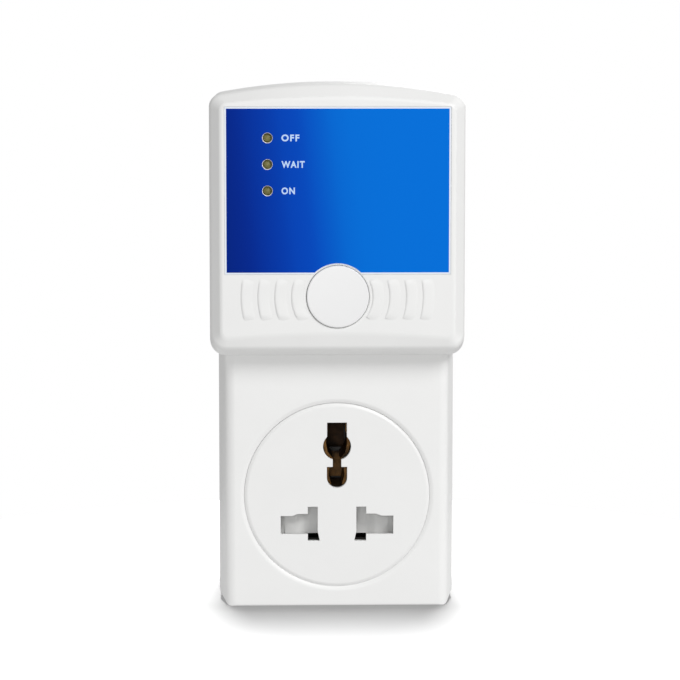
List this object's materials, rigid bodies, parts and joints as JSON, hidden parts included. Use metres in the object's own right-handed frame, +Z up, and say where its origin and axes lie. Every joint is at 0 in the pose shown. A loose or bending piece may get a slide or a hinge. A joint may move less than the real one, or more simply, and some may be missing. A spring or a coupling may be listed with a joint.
{
  "type": "plug-through appliance voltage protector",
  "caption": "Plug-through voltage protector: white stepped case with a blue label, status lamps, a round button, a shuttered universal socket and a fused three-pin plug behind.",
  "frame": {"origin": "middle of the case's flat bottom end, halfway through the depth of the lower body", "axes": "+Z up along the case towards the arched top, -Y out of the front with the label, button and socket, +Y towards the wall and along the plug pins, +X to the right seen from the front"},
  "size_m": [0.0654, 0.0738, 0.1358],
  "materials": {
    "housing": "fine matt, warm white",
    "socket_plate": "fine matt, warm white",
    "button": "satin, warm white",
    "label": "printed blue film",
    "lamp": "unlit tinted lens",
    "spring_steel": "drawn wire",
    "screw_steel": "zinc plated",
    "tinned_wire": "tinned",
    "black_plastic": "matt black",
    "board": "green solder resist",
    "relay_shell": "dark blue",
    "coil_wire": "enamelled copper",
    "relay_iron": "nickel plated",
    "contact_brass": "spring brass",
    "core_iron": "varnished laminations",
    "winding_tape": "yellow tape",
    "film_box": "yellow box",
    "can_sleeve": "dark blue sleeve",
    "varistor_coat": "blue dipped",
    "resistor_body": "lacquered",
    "shutter_plastic": "grey",
    "base_plastic": "off-white",
    "carrier_plastic": "dark grey",
    "pin_brass": "polished brass",
    "sleeve_plastic": "black",
    "fuse_ceramic": "glazed off-white",
    "fuse_metal": "nickel plated",
    "drawer_plastic": "fine matt, warm white",
    "brown_insulation": "brown",
    "blue_insulation": "blue"
  },
  "bodies": {
    "housing": {"front_housing": "housing", "rear_housing": "housing", "label_panel": "label", "button_spring": "spring_steel", "switch_base": "black_plastic", "led_off": "lamp", "led_wait": "lamp", "led_on": "lamp", "led_leads": "tinned_wire", "led_spacer": "black_plastic", "main_board": "board", "relay_base": "black_plastic", "relay_cover": "relay_shell", "relay_coil": "coil_wire", "relay_yoke": "relay_iron", "relay_fixed_contact": "contact_brass", "transformer_core": "core_iron", "transformer_winding": "winding_tape", "suppressor_capacitor": "film_box", "filter_capacitor": "can_sleeve", "varistor": "varistor_coat", "control_chip": "black_plastic", "resistors": "resistor_body", "diodes": "black_plastic", "socket_face": "socket_plate", "shutter_spring": "spring_steel", "socket_base": "base_plastic", "live_contact": "contact_brass", "neutral_contact": "contact_brass", "earth_contact": "contact_brass", "pin_carrier": "carrier_plastic", "live_pin": "pin_brass", "neutral_pin": "pin_brass", "earth_pin": "pin_brass", "pin_sleeves": "sleeve_plastic", "live_fuse_clip": "contact_brass", "load_fuse_clip": "contact_brass", "neutral_strap": "contact_brass", "earth_strap": "contact_brass", "feed_wire": "brown_insulation", "load_wire": "brown_insulation", "neutral_wire": "blue_insulation", "housing_screws": "screw_steel", "board_screws": "screw_steel", "socket_screws": "screw_steel", "carrier_screws": "screw_steel"},
    "button": {"reset_button": "button"},
    "plunger": {"switch_plunger": "black_plastic"},
    "shutter_slider": {"shutter": "shutter_plastic"},
    "fuse_drawer": {"fuse_carrier": "drawer_plastic", "fuse_tube": "fuse_ceramic", "fuse_caps": "fuse_metal"},
    "relay_arm": {"relay_armature": "relay_iron", "relay_moving_contact": "contact_brass"}
  },
  "joints": [
    {"name": "button_press", "type": "slide", "parent": "housing", "child": "button", "axis": [0, 1, 0], "range_m": [0, 0.0015], "stiffness_N_per_m": 400, "springref_m": -0.002, "deforming": ["button_spring"]},
    {"name": "plunger_press", "type": "slide", "parent": "housing", "child": "plunger", "axis": [0, 1, 0], "range_m": [0, 0.0015], "stiffness_N_per_m": 100, "springref_m": -0.001},
    {"name": "shutter_slide", "type": "slide", "parent": "housing", "child": "shutter_slider", "axis": [0, 0, -1], "range_m": [0, 0.0093], "stiffness_N_per_m": 50, "springref_m": -0.004, "deforming": ["shutter_spring"]},
    {"name": "fuse_drawer_pull", "type": "slide", "parent": "housing", "child": "fuse_drawer", "axis": [0, 1, 0], "range_m": [0, 0.012]},
    {"name": "relay_pull_in", "type": "hinge", "parent": "housing", "child": "relay_arm", "pos_m": [0.015, -0.00315, 0.10966], "axis": [1, 0, 0], "range_deg": [0, 3.5], "stiffness_Nm_per_rad": 0.002, "springref_deg": -17.19}
  ],
  "couplings": [
    {"joint": "plunger_press", "follows": "button_press", "ratio": 1}
  ]
}
